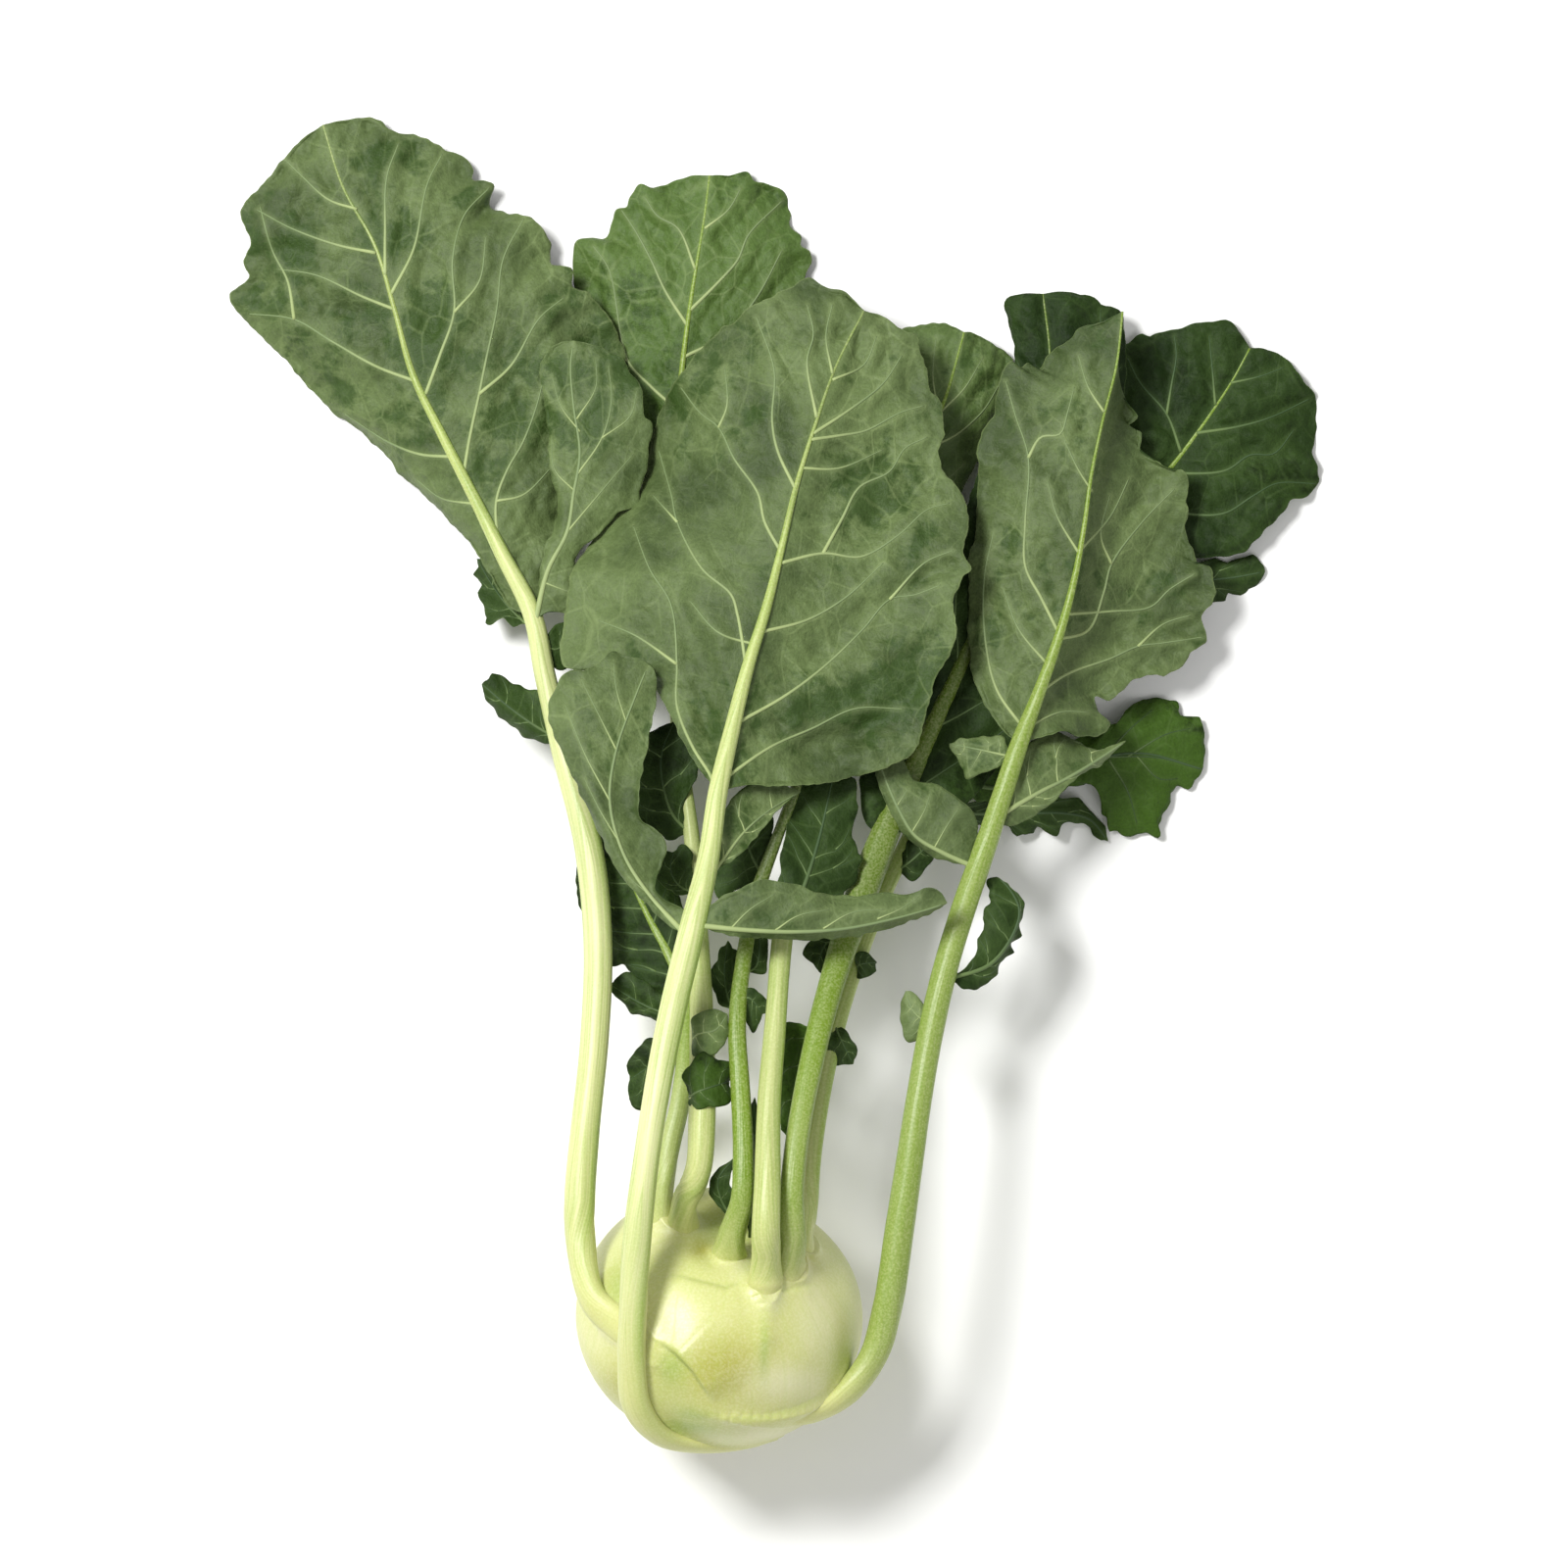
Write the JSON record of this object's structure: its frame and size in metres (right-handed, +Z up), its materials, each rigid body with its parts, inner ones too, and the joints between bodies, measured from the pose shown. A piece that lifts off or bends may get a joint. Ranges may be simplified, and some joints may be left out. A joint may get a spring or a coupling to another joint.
{
  "type": "kohlrabi",
  "caption": "Kohlrabi with its leaves on, lying on its side: a round pale green bulb, long ribbed leaf stalks that rise from it and grey-green leaf blades fanned out at their ends",
  "frame": {"origin": "the middle of the flat spot under the bulb, on the surface that the plant lies on", "axes": "+Y from the bulb to the tips of the leaves, +Z up, +X to the right with the leaves pointing away"},
  "size_m": [0.3451, 0.423, 0.0933],
  "materials": {
    "bulb_skin": "smooth waxy skin",
    "stalk_skin": "smooth waxy skin with fine ribs",
    "leaf_underside": "matt with a grey bloom",
    "leaf_top": "satin",
    "root_wood": "rough, cut"
  },
  "bodies": {
    "root": {"blade_far_right": "leaf_top", "blade_front": "leaf_underside", "blade_inner": "leaf_underside", "blade_left": "leaf_underside", "blade_rear_left": "leaf_underside", "blade_rear_middle": "leaf_underside", "blade_right": "leaf_underside", "blade_upper": "leaf_underside", "blade_young": "leaf_underside", "bulb": "bulb_skin", "cut_root": "root_wood", "heart_leaf_curled": "leaf_top", "heart_leaf_upright": "leaf_top", "leaflet_far_right_large": "leaf_top", "leaflet_far_right_low": "leaf_top", "leaflet_far_right_side": "leaf_top", "leaflet_far_right_small": "leaf_top", "leaflet_far_right_strip": "leaf_top", "leaflet_far_right_tip": "leaf_top", "leaflet_front_base": "leaf_underside", "leaflet_front_left": "leaf_underside", "leaflet_front_right": "leaf_underside", "leaflet_inner": "leaf_top", "leaflet_left_inner": "leaf_top", "leaflet_left_lower": "leaf_underside", "leaflet_left_under": "leaf_top", "leaflet_left_upper": "leaf_underside", "leaflet_rear_curl": "leaf_top", "leaflet_rear_left_low": "leaf_top", "leaflet_rear_left_side": "leaf_top", "leaflet_rear_lower": "leaf_top", "leaflet_rear_ragged": "leaf_top", "leaflet_rear_upper": "leaf_underside", "leaflet_right_curled": "leaf_underside", "leaflet_right_folded": "leaf_underside", "leaflet_right_outer": "leaf_underside", "leaflet_right_small": "leaf_underside", "leaflet_right_top": "leaf_underside", "leaflet_upper_hanging": "leaf_top", "leaflet_upper_small": "leaf_top", "leaflet_young_low": "leaf_top", "leaflet_young_right": "leaf_top", "leaflet_young_side": "leaf_top", "leaflet_young_upper": "leaf_top", "stalk_far_right": "stalk_skin", "stalk_front": "stalk_skin", "stalk_inner": "stalk_skin", "stalk_left": "stalk_skin", "stalk_rear_left": "stalk_skin", "stalk_rear_middle": "stalk_skin", "stalk_right": "stalk_skin", "stalk_upper": "stalk_skin", "stalk_young": "stalk_skin"}
  },
  "joints": []
}
